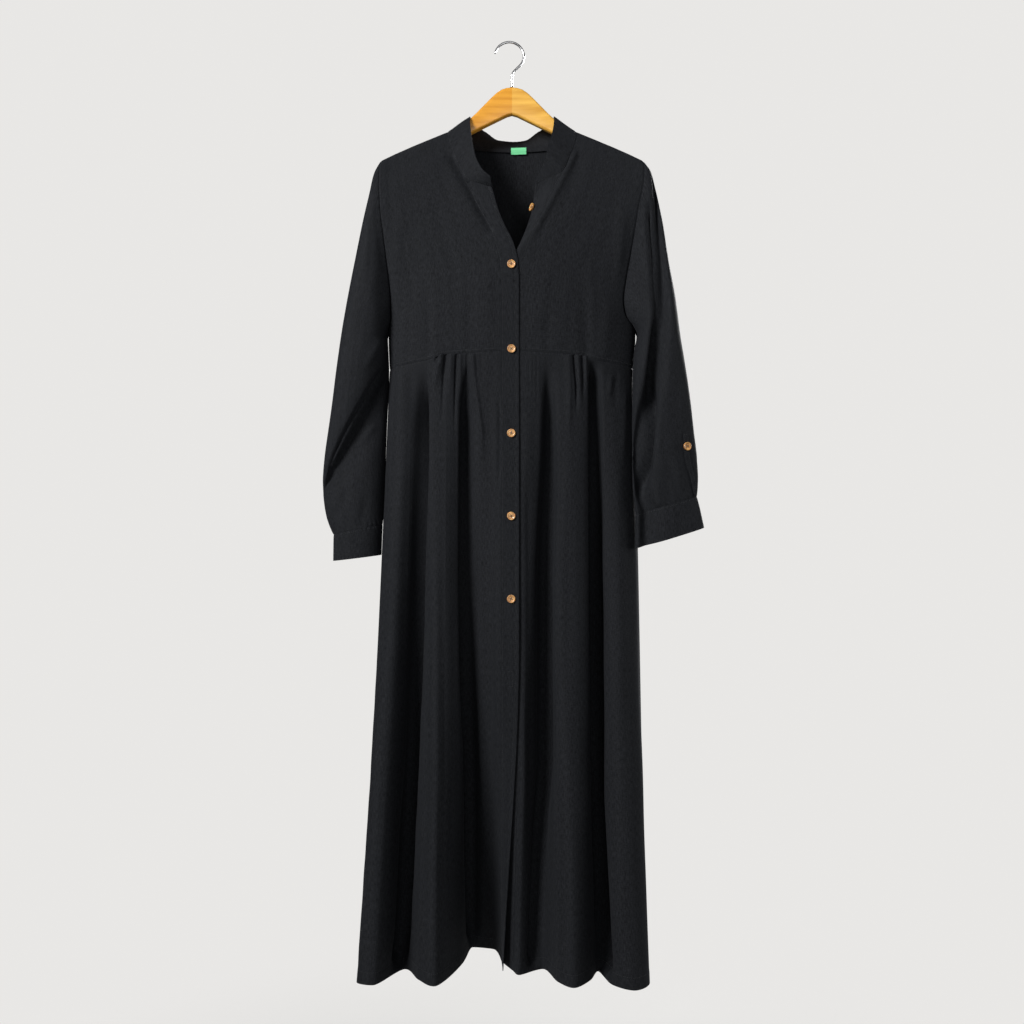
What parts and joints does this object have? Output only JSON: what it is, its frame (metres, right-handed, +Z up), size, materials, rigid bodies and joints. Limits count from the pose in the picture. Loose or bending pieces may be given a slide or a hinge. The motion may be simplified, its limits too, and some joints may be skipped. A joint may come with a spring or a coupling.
{
  "type": "abaya dress on a wooden hanger",
  "caption": "Long black buttoned abaya dress with stand collar, raised waist, gathered skirt and cuffed sleeves, hung by its wooden hanger's wire hook.",
  "frame": {"origin": "the saddle of the hook: the inner top of its wire, where a rail holds it", "axes": "+Z up, the front of the garment faces -Y, and the wearer's right side is at -X"},
  "size_m": [0.5927, 0.216, 1.4571],
  "materials": {
    "cloth": "matte black slub weave with a slight sheen",
    "button": "satin mottled brown, like horn",
    "neck_tape": "smooth woven green tape, blank",
    "hanger_wood": "clear satin varnish on light wood",
    "hook_steel": "bright plated wire"
  },
  "bodies": {
    "root": {"front_bodice_right": "cloth", "front_bodice_left": "cloth", "back_bodice": "cloth", "front_skirt_right": "cloth", "front_skirt_left": "cloth", "back_skirt": "cloth", "sleeve_right": "cloth", "sleeve_left": "cloth", "cuff_right": "cloth", "cuff_left": "cloth", "sleeve_tab_right": "cloth", "sleeve_tab_left": "cloth", "collar": "cloth", "placket_top": "cloth", "placket_under": "cloth", "button_1": "button", "button_2": "button", "button_3": "button", "button_4": "button", "button_5": "button", "button_neck": "button", "button_sleeve_right": "button", "button_sleeve_left": "button", "neck_label": "neck_tape", "hanger": "hanger_wood", "hook": "hook_steel"}
  },
  "joints": []
}
